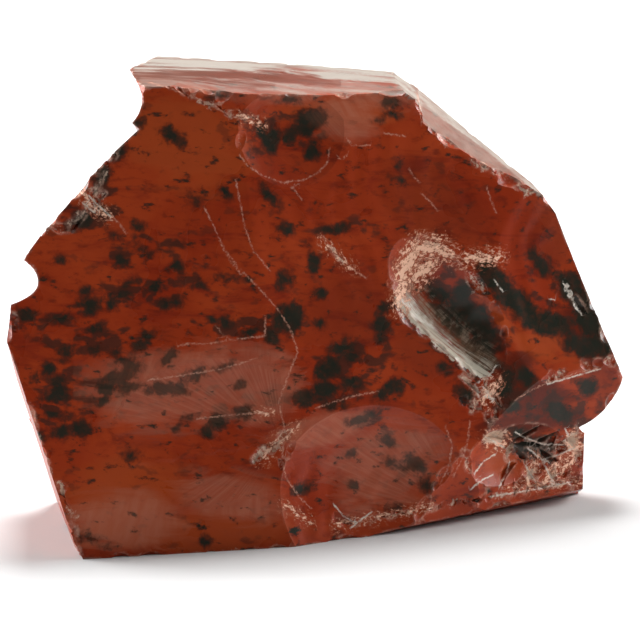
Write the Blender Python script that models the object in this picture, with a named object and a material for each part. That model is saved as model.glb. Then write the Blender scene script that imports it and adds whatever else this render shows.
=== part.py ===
"""A chunk of red-and-black obsidian, one solid piece of natural glass that rests on a flat broken base.

Metres, +Z up. The stone's broad front looks towards -Y and leans back a little. Its shape is what is
left of a rough block after many fractures, so every surface below is one scar: a place, the direction
it faces, and how much it is bowed. Lengths are millimetres on the leaning front:
(across to the right, up the front, back into the stone).
"""
import math
from dataclasses import dataclass

import bmesh
import bpy
from mathutils import Matrix, Vector

MM = 0.001
LEAN = math.radians(13.0)       # how far the front leans back from upright
ORIGIN_BACK = 22.0              # the model's origin is on the base, this far behind its front corner

# The rough block that the scars are struck from: centre and size.
BLOCK_CENTRE = (0.0, 30.0, 24.0)
BLOCK_SIZE = (96.0, 84.0, 66.0)

# How finely a bowed scar is faceted.
LIFT = 40.0                     # how far a cutter rises above its scar, clear of the stone
WIDE = 90.0                     # radius of a cutter that isn't bounded by its own bow
RINGS = 15
SPOKES = 32
CHIP_LIFT = 7.0
CHIP_RINGS = 5
CHIP_SPOKES = 14
SHARP_ANGLE = math.radians(24.0)
NEWTON_STEPS = 6

STONE_RED = (0.205, 0.022, 0.008, 1.0)
STONE_ROUGHNESS = 0.17


@dataclass
class Scar:
    """One fracture surface. bowl holds its two bending radii: + hollow, - domed, 0 straight."""
    at: tuple
    out: tuple
    bowl: tuple = (0.0, 0.0)
    along: tuple = (0.0, 1.0, 0.0)      # the direction that the first radius bends in
    reach: tuple = ()                   # half-widths, where a step ends the scar
    riser: tuple = ()                   # a point and a direction: the scar lies only beyond this flat


DOWN = (0.0, -math.cos(LEAN), math.sin(LEAN))

FLAT_SCARS = {
    "base": Scar((0, 0, 0), DOWN),
    "front_left": Scar((-30.6, 0, 0.4), (0.24, 0, -1)),
    "front_right": Scar((-10, 50, 5.3), (0.40, 0.0235, -1)),
    "brow_left": Scar((-11.6, 57.3, 4.96), (0.321, 0.183, -1)),
    "brow_right": Scar((-11.6, 57.3, 4.83), (0.404, 0.1735, -1)),
    "top_end": Scar((11.5, 61.3, 22), (0.60, 0.78, -0.12)),
    "shoulder": Scar((29.2, 46.6, 24), (0.806, 0.591, 0.1)),
    "nose": Scar((40.1, 22.5, 25), (1, 0, 0.1)),
    "nose_top": Scar((39.4, 25.6, 25), (0.95, 0.30, 0.1)),
    "under_right": Scar((22, 6.4, 20), (0.25, -0.96, -0.08)),
    "left": Scar((-35.5, 13.5, 2), (-0.95, -0.318, -0.035)),
    "left_foot": Scar((-31.4, 1.6, 2), (-0.88, -0.47, -0.05)),
    "left_mid": Scar((-40.1, 30, -1.5), (-0.98, 0.12, 0.05)),
}

BOWED_SCARS = {
    "top": Scar((-5, 63.7, 20), (0.07, 1, -0.17), (-400, -300), (1, -0.07, 0)),
    "top_front": Scar((-10.4, 60.2, 5.8), (0.163, 1, -0.30), (180, 0), (1, -0.163, 0)),
    "top_right": Scar((19.5, 54.6, 22), (0.60, 0.79, -0.17), riser=((12.9, 58.6, 14), (0.99, 0.13, -0.02))),
    "top_right_front": Scar((24, 49.9, 19), (0.53, 0.79, -0.36), (77, 0), (0.86, -0.5, 0.2),
                            riser=((13.1, 58.6, 14), (0.99, 0.13, -0.02))),
    "right": Scar((34.9, 34.5, 24), (0.918, 0.396, 0.08), (600, 120), (0.396, -0.918, 0)),
    "left_upper": Scar((-31.8, 47.0, 0), (-0.78, 0.625, 0.25), (-100, 0), (0.625, 0.78, 0), (12.0, 80)),
    "left_tip": Scar((-23.9, 64.7, 12), (-0.70, 0.71, 0.1), reach=(8, 40)),
    "tip_side": Scar((-24.9, 63.2, 12), (-0.95, 0.30, 0.1), riser=((-24, 60, 12), (0, 1, 0))),
    "tip_front": Scar((-23.2, 61.6, 4.6), (-0.81, 0.43, -0.40), reach=(5, 5)),
    "neck": Scar((-22.95, 59.0, 3), (-1, 0.05, 0.06), (3.4, 0), (0.05, 1, 0)),
    "left_notch": Scar((-36.3, 35.6, -1), (-1, 0.15, 0.12), (1.7, 0)),
    "nose_under": Scar((37.9, 19.7, 25), (0.772, -0.635, 0.1), (-9, 0), (0.635, 0.772, 0), (4.9, 60)),
    "heel": Scar((34.8, 12.4, 25), (1, 0.02, 0.1), reach=(4.7, 60)),
    "brow_scoop": Scar((-4.25, 54.0, 8.87), (0.38, 0.08, -0.93), (24, 24)),
    "groove": Scar((17.6, 31.2, 17.9), (0.28, 0.02, -0.96), (32, 7.5), (0.60, -0.78, 0.2),
                   riser=((15.2, 28.1, 14.9), (0.66, 0.564, -0.49))),
    "bands": Scar((28, 31, 20.8), (0.47, 0.07, -0.88), (110, 90), (0.67, -0.75, 0)),
    "jaw": Scar((31.2, 23.3, 21.8), (0.66, -0.40, -1), (90, 0), (0.93, 0.36, 0.3),
                riser=((21, 18, 18), (1, -0.6, 0))),
    "under_jaw": Scar((29.5, 14.4, 25.0), (0.30, -0.30, -1), (14, 5), (1, 0.15, 0.4)),
    "lower_centre": Scar((7.4, 12.8, 13.2), (0.37, -0.11, -1), (46, 32), (1, 0.12, 0.4)),
    "fan": Scar((-15.5, 21.6, 4.45), (0.255, -0.07, -1), (150, 75), (1, 0.16, 0.24)),
    "lower_right": Scar((22, 9.5, 19.3), (0.36, -0.30, -0.9), (30, 30)),
    "back": Scar((0, 34, 43), (-0.12, 0.30, 0.94), (150, 110)),
    "back_left": Scar((-30, 24, 30), (-0.62, 0.05, 0.78), (60, 50)),
    "back_right": Scar((30, 22, 38), (0.50, -0.02, 0.86), (90, 70)),
    "back_shoulder": Scar((20, 54.3, 27), (0.645, 0.51, 0.568), (0, 90)),
    "back_top": Scar((-8, 64.4, 25), (0.05, 0.72, 0.69), (200, 60), (1, 0, 0)),
    "back_low": Scar((2, 9, 44), (0.1, -0.45, 0.88), (80, 60)),
}

# Small flakes, by the scar that they were struck from: across, up, depth below it, bending radius.
CHIPS = {
    "jaw": (
        (33.2, 14.6, 0.5, 2.6),
        (29.6, 11.0, 0.7, 2.4),
        (31.4, 18.6, 0.4, 2.8),
        (35.2, 20.6, 0.4, 2.2),
        (20.8, 7.6, 0.5, 1.8),
        (25.4, 8.6, 0.5, 2.0),
        (30.0, 9.4, 0.4, 1.6),
    ),
    "under_jaw": (
        (23.0, 15.2, 0.5, 2.4),
        (27.4, 14.6, 0.6, 2.6),
        (26.4, 11.4, 0.5, 2.0),
        (30.4, 14.2, 0.4, 1.8),
    ),
    "lower_right": (
        (15.4, 5.6, 0.5, 1.6),
        (18.8, 6.8, 0.5, 2.0),
    ),
    "lower_centre": (
        (4.0, 4.6, 0.5, 2.0),
        (7.8, 4.8, 0.6, 1.8),
        (11.4, 5.0, 0.5, 2.2),
    ),
    "fan": (
        (-7.6, 14.8, 0.35, 2.4),
    ),
    "front_left": (
        (-8.6, 2.2, 0.6, 1.8),
        (-22.0, 1.0, 0.8, 2.4),
    ),
    "front_right": (
        (25.6, 47.6, 0.4, 2.0),
        (22.6, 19.8, 0.4, 1.8),
    ),
}
LEFT_EDGE_FLAKE = Scar((-30.4, 45.6, 0.9), (-0.10, 0.14, -0.95), (9, 6), (0.6, 0.8, 0))
CHIP_OUT = (0.30, -0.25, -1.0)


def direction(across_up_back):
    """A direction on the leaning front, as a unit vector in the model's frame."""
    across, up, back = across_up_back
    along_y = up * math.sin(LEAN) + back * math.cos(LEAN)
    along_z = up * math.cos(LEAN) - back * math.sin(LEAN)
    return Vector((across, along_y, along_z)).normalized()


def place(across_up_back):
    """A place on the leaning front, in metres in the model's frame."""
    across, up, back = across_up_back
    along_y = up * math.sin(LEAN) + back * math.cos(LEAN) - ORIGIN_BACK
    along_z = up * math.cos(LEAN) - back * math.sin(LEAN)
    return Vector((across, along_y, along_z)) * MM


def scar_frame(scar):
    """The matrix whose Z is the way the scar faces and whose X is its first bending direction."""
    out = direction(scar.out)
    along = direction(scar.along)
    along = (along - out * along.dot(out)).normalized()
    other = out.cross(along)
    axes = Matrix((along, other, out)).transposed().to_4x4()
    return Matrix.Translation(place(scar.at)) @ axes


def bend(radius):
    """How fast a surface of this bending radius rises: height is bend times distance squared."""
    return 1.0 / (2.0 * radius) if radius else 0.0


def half_width(radius, lift):
    """How far a cutter reaches: a hollow one until its rim has risen by lift."""
    return math.sqrt(2.0 * radius * lift) if radius > 0 else WIDE


def linked(name, mesh):
    """A new object of this name in the scene."""
    made = bpy.data.objects.new(name, mesh)
    bpy.context.collection.objects.link(made)
    return made


def keep_beyond(body, riser):
    """Closes a cutter off at a flat, and keeps the side that the flat faces."""
    point, way = riser
    everything = body.verts[:] + body.edges[:] + body.faces[:]
    bmesh.ops.bisect_plane(body, geom=everything, plane_co=place(point), plane_no=direction(way),
                           clear_inner=True)
    rim = [edge for edge in body.edges if edge.is_boundary]
    bmesh.ops.holes_fill(body, edges=rim)
    bmesh.ops.recalc_face_normals(body, faces=body.faces)


def cutter_of(name, scar, lift=LIFT, rings=RINGS, spokes=SPOKES):
    """The closed body that a scar takes away: its bowed floor, and all that lies above it."""
    wide = scar.reach or (half_width(scar.bowl[0], lift), half_width(scar.bowl[1], lift))
    bends = (bend(scar.bowl[0]), bend(scar.bowl[1]))
    body = bmesh.new()
    middle = body.verts.new((0, 0, 0))
    inner = None
    for ring in range(1, rings + 1):
        outer = []
        for spoke in range(spokes):
            turn = 2 * math.pi * (spoke + 0.5 * (ring % 2)) / spokes
            x = wide[0] * ring / rings * math.cos(turn)
            y = wide[1] * ring / rings * math.sin(turn)
            outer.append(body.verts.new((x, y, bends[0] * x * x + bends[1] * y * y)))
        for spoke in range(spokes):
            following = (spoke + 1) % spokes
            if inner is None:
                body.faces.new((middle, outer[spoke], outer[following]))
            elif ring % 2:
                body.faces.new((inner[spoke], outer[spoke], inner[following]))
                body.faces.new((inner[following], outer[spoke], outer[following]))
            else:
                body.faces.new((inner[spoke], outer[following], inner[following]))
                body.faces.new((inner[spoke], outer[spoke], outer[following]))
        inner = outer
    rim_is_top = not scar.reach and min(scar.bowl) > 0
    if not rim_is_top:
        top = [body.verts.new((vert.co.x, vert.co.y, lift)) for vert in inner]
        for spoke in range(spokes):
            following = (spoke + 1) % spokes
            body.faces.new((inner[spoke], inner[following], top[following], top[spoke]))
        inner = top
    body.faces.new(inner)
    bmesh.ops.recalc_face_normals(body, faces=body.faces)
    bmesh.ops.scale(body, vec=(MM, MM, MM), verts=body.verts)
    bmesh.ops.transform(body, matrix=scar_frame(scar), verts=body.verts)
    if scar.riser:
        keep_beyond(body, scar.riser)
    mesh = bpy.data.meshes.new(name)
    body.to_mesh(mesh)
    body.free()
    return linked(name, mesh)


def split_block():
    """The rough block, split along the flat scars."""
    body = bmesh.new()
    bmesh.ops.create_cube(body, size=1.0)
    bmesh.ops.scale(body, vec=Vector(BLOCK_SIZE) * MM, verts=body.verts)
    turn = Matrix((direction((1, 0, 0)), -direction((0, 0, -1)), direction((0, 1, 0)))).transposed()
    bmesh.ops.rotate(body, matrix=turn, verts=body.verts)
    bmesh.ops.translate(body, vec=place(BLOCK_CENTRE), verts=body.verts)
    for scar in FLAT_SCARS.values():
        everything = body.verts[:] + body.edges[:] + body.faces[:]
        bmesh.ops.bisect_plane(body, geom=everything, plane_co=place(scar.at), plane_no=direction(scar.out),
                               clear_outer=True)
        rim = [edge for edge in body.edges if edge.is_boundary]
        bmesh.ops.holes_fill(body, edges=rim)
    bmesh.ops.recalc_face_normals(body, faces=body.faces)
    mesh = bpy.data.meshes.new("obsidian_chunk")
    body.to_mesh(mesh)
    body.free()
    return linked("obsidian_chunk", mesh)


def depth_on(scar, across, up):
    """How far back a scar's surface lies at this place on the front, found by Newton's method."""
    out = Vector(scar.out).normalized()
    along = Vector(scar.along)
    along = (along - out * along.dot(out)).normalized()
    other = out.cross(along)
    back = scar.at[2]
    for _ in range(NEWTON_STEPS):
        away = Vector((across, up, back)) - Vector(scar.at)
        first, second = away.dot(along), away.dot(other)
        above = away.dot(out) - bend(scar.bowl[0]) * first ** 2 - bend(scar.bowl[1]) * second ** 2
        slope = out.z - 2 * bend(scar.bowl[0]) * first * along.z - 2 * bend(scar.bowl[1]) * second * other.z
        back -= above / slope
    return back


def chip_cutters():
    """A cutter for each small flake, sunk below the scar that it was struck from."""
    cutters = []
    for parent, chips in CHIPS.items():
        scar = FLAT_SCARS.get(parent) or BOWED_SCARS[parent]
        for number, (across, up, depth, radius) in enumerate(chips):
            chip = Scar((across, up, depth_on(scar, across, up) + depth), CHIP_OUT, (radius, radius))
            cutters.append(cutter_of(f"{parent}_chip_{number}", chip, CHIP_LIFT, CHIP_RINGS, CHIP_SPOKES))
    cutters.append(cutter_of("left_edge_flake", LEFT_EDGE_FLAKE, CHIP_LIFT, CHIP_RINGS, CHIP_SPOKES))
    return cutters


def strike(stone, cutter):
    """Takes a cutter's body away from the stone."""
    cut = stone.modifiers.new(cutter.name, "BOOLEAN")
    cut.operation = "DIFFERENCE"
    cut.solver = "EXACT"
    cut.object = cutter


def finish_cuts(stone, cutters):
    """Keeps the cut shape as the stone's own mesh, and removes the cutters."""
    seen = stone.evaluated_get(bpy.context.evaluated_depsgraph_get())
    stone.data = bpy.data.meshes.new_from_object(seen)
    stone.data.name = stone.name
    stone.modifiers.clear()
    for cutter in cutters:
        bpy.data.objects.remove(cutter)


def obsidian_material():
    """Glossy red-brown volcanic glass."""
    glass = bpy.data.materials.new("obsidian")
    glass.use_nodes = True
    shader = glass.node_tree.nodes["Principled BSDF"]
    shader.inputs["Base Color"].default_value = STONE_RED
    shader.inputs["Roughness"].default_value = STONE_ROUGHNESS
    shader.inputs["Metallic"].default_value = 0.0
    return glass


def obsidian_chunk():
    """The whole stone."""
    stone = split_block()
    cutters = []
    for name, scar in BOWED_SCARS.items():
        cutters.append(cutter_of(name, scar))
    cutters += chip_cutters()
    for cutter in cutters:
        strike(stone, cutter)
    finish_cuts(stone, cutters)
    stone.data.materials.clear()
    stone.data.materials.append(obsidian_material())
    stone.data.shade_smooth()
    stone.data.set_sharp_from_angle(angle=SHARP_ANGLE)
    return stone


for old in list(bpy.data.objects):
    bpy.data.objects.remove(old)
obsidian_chunk()
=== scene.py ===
"""The looks of the obsidian chunk: its fractured surface, its red and black glass, and a soft studio.

The stone is carved again from the same scars as the solid it stands for, on a fine grid, with the ripples
and small chips that the solid leaves out. Lengths are millimetres on the leaning front, as in the solid:
(across to the right, up the front, back into the stone).
"""
import math
from dataclasses import dataclass

import bpy
import numpy as np
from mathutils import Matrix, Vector


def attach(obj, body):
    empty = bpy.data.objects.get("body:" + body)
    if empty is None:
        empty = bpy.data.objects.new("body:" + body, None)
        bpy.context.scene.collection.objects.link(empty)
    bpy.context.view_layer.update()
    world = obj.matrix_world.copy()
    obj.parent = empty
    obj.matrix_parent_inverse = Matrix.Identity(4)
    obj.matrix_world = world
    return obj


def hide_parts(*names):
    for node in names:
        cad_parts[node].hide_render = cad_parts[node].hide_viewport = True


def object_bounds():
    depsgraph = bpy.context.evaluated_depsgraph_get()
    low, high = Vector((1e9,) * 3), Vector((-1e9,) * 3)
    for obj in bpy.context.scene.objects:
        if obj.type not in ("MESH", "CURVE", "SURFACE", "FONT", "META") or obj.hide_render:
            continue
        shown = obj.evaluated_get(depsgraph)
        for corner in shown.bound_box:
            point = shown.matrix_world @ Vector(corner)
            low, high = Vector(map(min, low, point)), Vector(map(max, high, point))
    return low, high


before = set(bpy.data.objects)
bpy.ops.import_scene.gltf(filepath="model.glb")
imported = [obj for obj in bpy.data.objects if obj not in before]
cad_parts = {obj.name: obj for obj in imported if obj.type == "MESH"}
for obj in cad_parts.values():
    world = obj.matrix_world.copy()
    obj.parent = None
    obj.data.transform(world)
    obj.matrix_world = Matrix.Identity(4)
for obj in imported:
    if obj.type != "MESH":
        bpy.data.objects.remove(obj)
cad_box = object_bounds()

MM = 0.001
NODE = "obsidian_chunk"
PIECE = "fractured_glass_chunk"
LEAN = math.radians(13.0)       # how far the front leans back from upright
ORIGIN_BACK = 22.0              # the frame's origin lies on the base, this far behind its front corner

# The grid that the stone is carved on: its step across, up and back.
GRID_STEP = (0.43, 0.43, 0.62)
QUICK_STEP = (0.75, 0.75, 0.95)
GRID_MARGIN = 1.5               # how far the grid reaches past the solid's box
BAND = 1.6                      # chips are looked for this near to the large scars
CROSSING_STEPS = 5              # how often the place where an edge meets the surface is made finer
SHARP_ANGLE = math.radians(13.0)    # an edge between two scars is sharp from this turn on
CREASE_ANGLE = math.radians(50.0)   # any edge is
SMALL_STEP = 0.01               # for slopes found from differences
FAR_BELOW = -1e3
SIGHT_DEPTHS = (-6.0, 46.0)     # how far lines of sight are followed into the stone
SIGHT_STEP = 0.25
RIDGE_LIMIT = 0.012             # a direction weaker than this share of the strongest doesn't make a ridge
CELL_ROOM = 0.62                # how far a point may leave the middle of its cell, in steps

# Photograph: one pixel, the column of the middle, and the row of the base's front corner.
PIXEL = 0.13
PIXEL_MIDDLE = 320.0
PIXEL_BASE = 558.0
FRAME_PIXELS = 640.0
CAMERA_DISTANCE = 1.8           # in metres
CAMERA_BACK = 17.0              # the depth in the stone that the camera is aimed at
SENSOR = 36.0                   # the width of the camera's sensor

# How bright the sky is overhead, in front, behind the stone and at both sides.
OVERHEAD_GLOW = 0.14
DIM_GLOW = 0.1
BACKDROP_GLOW = 1.1
SIDE_GLOW = 0.2

# Each lamp's name: its place and the point it is aimed at in metres, its width, and its power in watts.
LAMPS = {
    "overhead_box": ((0.0, 0.29, 0.75), (0, 0, 0.02), 0.24, 5.6),
    "left_box": ((-0.7, 0.1, 0.24), (-0.03, 0, 0), 0.4, 4.0),
    "right_box": ((0.7, 0.14, 0.3), (0.03, 0, 0), 0.4, 2.6),
    "rear_right_box": ((0.6, 0.36, 0.24), (0.05, -0.03, 0), 0.4, 5.0),
    "rear_left_box": ((-0.6, 0.36, 0.24), (-0.05, -0.03, 0), 0.4, 5.0),
}
FLOOR_HALF = 1.4                # half the floor's width, in metres
PAPER_WHITE = (0.71, 0.71, 0.71, 1)

# The glass's colours, as red, green and blue light.
BROWN_RED = (0.31, 0.03, 0.007)
CLEAR_RED = (0.4, 0.048, 0.009)
DRAWN_RED = (0.2, 0.016, 0.006)
SPOT_RED = (0.13, 0.014, 0.006)
ORANGE = (0.42, 0.066, 0.014)
DEEP_RED = (0.1, 0.014, 0.006)
MOTTLED_RED = (0.045, 0.02, 0.013)
HALO_RED = (0.085, 0.016, 0.008)
BLACK = (0.019, 0.021, 0.014)
# painted sheen: a pale pink that stands in for reflections of the bright floor and sky
PAINTED_SHEEN = (0.5, 0.17, 0.1)
UNDER_FILM = (0.13, 0.05, 0.026)
STREAK = (0.14, 0.032, 0.012)
# partly painted reflection: the top's pale film, also standing in for the grazing reflection of the bright
# backdrop
FILM_SHEEN = (0.42, 0.38, 0.33)
# painted reflection: the pale band along the groove's wall
WALL_REFLECTION = (0.62, 0.56, 0.45)
WALL_RIM = (0.022, 0.014, 0.01)
WALL_VEIL = (0.21, 0.12, 0.07)
WALL_SCRATCH = (0.34, 0.25, 0.18)
CRUSHED_RED = (0.48, 0.15, 0.075)
CRUSHED = (1.0, 0.61, 0.43)
PALE_FLAKE = (0.68, 0.5, 0.38)
DARK_FLAKE = (0.035, 0.034, 0.027)
CRACK = (0.6, 0.3, 0.21)
# bright splinters, partly painted glints
SPLINTER_GLINT = (0.74, 0.66, 0.57)
WORN = (0.6, 0.36, 0.27)

PATCH_FADE = 1.5                # how far outside a patch its mark still fades
PATCH_DEPTH = 2.0               # how thick a patch is, in half-widths
PATCH_SLACK = 0.3               # and how much of its half-length is added to that
PATCH_DEEPEST = 2.4             # how deep its middle can be
LINE_REACH = 1.2                # how far from a line it still counts
LINE_END = 0.3                  # the length over which a line's end fades


@dataclass
class Scar:
    """One fracture surface. bowl holds its two bending radii: + hollow, - domed, 0 straight.

    It bites only within reach, and only beyond the riser: a flat given by a point and the way it faces.
    A chip is a scar whose reach is short and the same both ways. Its tint is + pale, - dark.
    """
    at: tuple
    out: tuple
    bowl: tuple = (0.0, 0.0)
    along: tuple = (0.0, 1.0, 0.0)
    reach: tuple = ()
    riser: tuple = ()
    tint: float = 0.0


DOWN = (0.0, -math.cos(LEAN), math.sin(LEAN))

SCARS = {
    "base": Scar((0, 0, 0), DOWN),
    "front_left": Scar((-30.6, 0, 0.4), (0.24, 0, -1)),
    "front_right": Scar((-10, 50, 5.3), (0.4, 0.0235, -1)),
    "shoulder": Scar((29.2, 46.6, 24), (0.806, 0.591, 0.1)),
    "nose": Scar((40.1, 22.5, 25), (1, 0, 0.1)),
    "under_right": Scar((22, 6.4, 20), (0.25, -0.96, -0.08)),
    "left": Scar((-35.5, 13.5, 2), (-0.95, -0.318, -0.035)),
    "left_foot": Scar((-31.4, 1.6, 2), (-0.88, -0.47, -0.05)),
    "left_mid": Scar((-40.1, 30, -1.5), (-0.98, 0.12, 0.05)),
    "top": Scar((-5, 63.7, 20), (0.07, 1, -0.17), (-400, -300), (1, -0.07, 0)),
    "top_front": Scar((-10.4, 60.2, 5.8), (0.163, 1, -0.3), (180, 0), (1, -0.163, 0)),
    "brow_left": Scar((-11.6, 57.3, 4.96), (0.321, 0.183, -1)),
    "brow_right": Scar((-11.6, 57.3, 4.83), (0.404, 0.1735, -1)),
    "top_right": Scar((19.5, 54.6, 22), (0.6, 0.79, -0.17), riser=((12.9, 58.6, 14), (0.99, 0.13, -0.02))),
    "top_right_front": Scar((24, 49.9, 19), (0.53, 0.79, -0.36), (77, 0), (0.86, -0.5, 0.2),
                            riser=((13.1, 58.6, 14), (0.99, 0.13, -0.02))),
    "top_end": Scar((11.5, 61.3, 22), (0.6, 0.78, -0.12)),
    "right": Scar((34.9, 34.5, 24), (0.918, 0.396, 0.08), (600, 120), (0.396, -0.918, 0)),
    "left_upper": Scar((-31.8, 47.0, 0), (-0.78, 0.625, 0.25), (-100, 0), (0.625, 0.78, 0), (12.0, 80)),
    "left_tip": Scar((-23.9, 64.7, 12), (-0.7, 0.71, 0.1), reach=(8, 40)),
    "tip_side": Scar((-24.9, 63.2, 12), (-0.95, 0.3, 0.1), riser=((-24, 60, 12), (0, 1, 0))),
    "tip_front": Scar((-23.2, 61.6, 4.6), (-0.81, 0.43, -0.4), reach=(5, 5)),
    "neck": Scar((-22.95, 59.0, 3), (-1, 0.05, 0.06), (3.4, 0), (0.05, 1, 0)),
    "left_notch": Scar((-36.3, 35.6, -1), (-1, 0.15, 0.12), (1.7, 0)),
    "nose_under": Scar((37.9, 19.7, 25), (0.772, -0.635, 0.1), (-9, 0), (0.635, 0.772, 0), (4.9, 60)),
    "nose_top": Scar((39.4, 25.6, 25), (0.95, 0.3, 0.1)),
    "heel": Scar((34.8, 12.4, 25), (1, 0.02, 0.1), reach=(4.7, 60)),
    "brow_scoop": Scar((-4.25, 54.0, 8.87), (0.38, 0.08, -0.93), (24, 24)),
    "groove": Scar((17.6, 31.2, 17.9), (0.28, 0.02, -0.96), (32, 7.5), (0.6, -0.78, 0.2),
                   riser=((15.2, 28.1, 14.9), (0.66, 0.564, -0.49))),
    "bands": Scar((28, 31, 20.8), (0.47, 0.07, -0.88), (110, 90), (0.67, -0.75, 0)),
    "jaw": Scar((31.2, 23.3, 21.8), (0.66, -0.4, -1), (90, 0), (0.93, 0.36, 0.3),
                riser=((21, 18, 18), (1, -0.6, 0))),
    "under_jaw": Scar((29.5, 14.4, 25.0), (0.3, -0.3, -1), (14, 5), (1, 0.15, 0.4)),
    "lower_centre": Scar((7.4, 12.8, 13.2), (0.37, -0.11, -1), (46, 32), (1, 0.12, 0.4)),
    "fan": Scar((-15.5, 21.6, 4.45), (0.255, -0.07, -1), (150, 75), (1, 0.16, 0.24)),
    "lower_right": Scar((22, 9.5, 19.3), (0.36, -0.3, -0.9), (30, 30)),
    "back": Scar((0, 34, 43), (-0.12, 0.3, 0.94), (150, 110)),
    "back_left": Scar((-30, 24, 30), (-0.62, 0.05, 0.78), (60, 50)),
    "back_right": Scar((30, 22, 38), (0.5, -0.02, 0.86), (90, 70)),
    "back_shoulder": Scar((20, 54.3, 27), (0.645, 0.51, 0.568), (0, 90)),
    "back_top": Scar((-8, 64.4, 25), (0.05, 0.72, 0.69), (200, 60), (1, 0, 0)),
    "back_low": Scar((2, 9, 44), (0.1, -0.45, 0.88), (80, 60)),
    "left_edge_flake": Scar((-30.4, 45.6, 0.9), (-0.1, 0.14, -0.95), (9, 6), (0.6, 0.8, 0)),
}


def unit(vector):
    """The vector at length one."""
    vector = np.asarray(vector, float)
    return vector / np.linalg.norm(vector)


def to_frame(points):
    """Points on the leaning front, in millimetres, as metres in the frame."""
    across, up, back = points[..., 0], points[..., 1], points[..., 2]
    forward = up * math.sin(LEAN) + back * math.cos(LEAN) - ORIGIN_BACK
    upward = up * math.cos(LEAN) - back * math.sin(LEAN)
    return np.stack([across, forward, upward], axis=-1) * MM


def from_frame(points):
    """The other way round."""
    points = np.asarray(points, float) / MM
    across, forward, upward = points[..., 0], points[..., 1] + ORIGIN_BACK, points[..., 2]
    up = forward * math.sin(LEAN) + upward * math.cos(LEAN)
    back = forward * math.cos(LEAN) - upward * math.sin(LEAN)
    return np.stack([across, up, back], axis=-1)


def axes_of(scar):
    """The way a scar faces, and its two bending directions."""
    out = unit(scar.out)
    along = np.asarray(scar.along, float)
    along = unit(along - out * along.dot(out))
    return out, along, np.cross(out, along)


def bend(radius):
    """How fast a surface of this bending radius rises."""
    return 1.0 / (2.0 * radius) if radius else 0.0


def above(scar, points):
    """How far points lie above a scar's surface, roughly in millimetres: what is above is gone."""
    out, along, other = axes_of(scar)
    away = points - np.asarray(scar.at, float)
    first, second = away @ along, away @ other
    bends = bend(scar.bowl[0]), bend(scar.bowl[1])
    height = away @ out - bends[0] * first ** 2 - bends[1] * second ** 2
    height /= np.sqrt(1.0 + (2 * bends[0] * first) ** 2 + (2 * bends[1] * second) ** 2)
    if scar.reach:
        inside = 1.0 - np.hypot(first / scar.reach[0], second / scar.reach[1])
        height = np.minimum(height, inside * min(scar.reach))
    if scar.riser:
        point, way = scar.riser
        height = np.minimum(height, (points - np.asarray(point, float)) @ unit(way))
    return height


class Crowd:
    """Points sorted across, so that those near a chip are found quickly."""

    def __init__(self, points):
        self.points = points
        self.order = np.argsort(points[:, 0])
        self.across = points[self.order, 0]

    def near(self, chip):
        """The numbers of the points that a chip can touch."""
        reach = chip.reach[0]
        first, last = np.searchsorted(self.across, (chip.at[0] - reach, chip.at[0] + reach))
        some = self.order[first:last]
        return some[(np.abs(self.points[some] - chip.at) < reach).all(axis=1)]


def stone_above(points, chips=()):
    """How far points lie above the surface, the number of the scar or chip there, and the next one's.

    The last value is how far they lie above that next one.
    """
    highest, second = np.full(len(points), FAR_BELOW), np.full(len(points), FAR_BELOW)
    owner, other = np.zeros(len(points), int), np.zeros(len(points), int)
    everyone = np.arange(len(points))
    crowd = Crowd(points) if chips else None
    for number, scar in enumerate([*SCARS.values(), *chips]):
        near = everyone if number < len(SCARS) else crowd.near(scar)
        if len(near):
            settle(near, above(scar, points[near]), number, highest, owner, second, other)
    return highest, owner, second, other


def settle(near, height, number, highest, owner, second, other):
    """Enters one scar's heights into the two highest so far."""
    higher = height > highest[near]
    between = ~higher & (height > second[near])
    won, placed = near[higher], near[between]
    second[won], other[won] = highest[won], owner[won]
    highest[won], owner[won] = height[higher], number
    second[placed], other[placed] = height[between], number


def facing(points, owner, chips=()):
    """The way each point's own scar or chip faces there, from small differences."""
    out = np.zeros(points.shape)
    shapes = [*SCARS.values(), *chips]
    for number in np.unique(owner):
        chosen = np.nonzero(owner == number)[0]
        place = points[chosen]
        for k in range(3):
            shift = np.zeros(3)
            shift[k] = SMALL_STEP
            out[chosen, k] = above(shapes[number], place + shift) - above(shapes[number], place - shift)
    return out / np.linalg.norm(out, axis=1, keepdims=True)


def on_front(places):
    """Where lines of sight at these (across, up) places meet the stone, and the way it faces there."""
    places = np.asarray(places, float)
    depths = np.arange(*SIGHT_DEPTHS, SIGHT_STEP)
    across, depth = np.repeat(places, len(depths), axis=0), np.tile(depths, len(places))
    height = stone_above(np.column_stack([across, depth]))[0].reshape(len(places), -1)
    inside = height <= 0
    first = np.maximum(inside.argmax(axis=1), 1)
    rows = np.arange(len(places))
    over, under = height[rows, first - 1], height[rows, first]
    share = np.clip(over / (over - under), 0, 1)
    points = np.column_stack([places, depths[first - 1] + share * SIGHT_STEP])
    return points, facing(points, stone_above(points)[1])


def ridge_distance(points, owner, other, second, chips=()):
    """How far points on the surface lie from the nearest ridge or crease, and how sharply it turns."""
    turn = (facing(points, owner, chips) * facing(points, other, chips)).sum(axis=1)
    sine = np.sqrt(np.clip(1.0 - turn ** 2, 0.0025, 1.0))
    return np.clip(-second / sine, 0.0, 50.0), sine


def grid_axes(steps):
    """The grid's coordinates across, up and back, around the solid's box."""
    low, high = cad_box
    corners = [[x, y, z] for x in (low[0], high[0]) for y in (low[1], high[1]) for z in (low[2], high[2])]
    reach = from_frame(corners)
    first, last = reach.min(axis=0) - GRID_MARGIN, reach.max(axis=0) + GRID_MARGIN
    return [np.arange(first[k], last[k] + steps[k], steps[k]) for k in range(3)]


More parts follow.
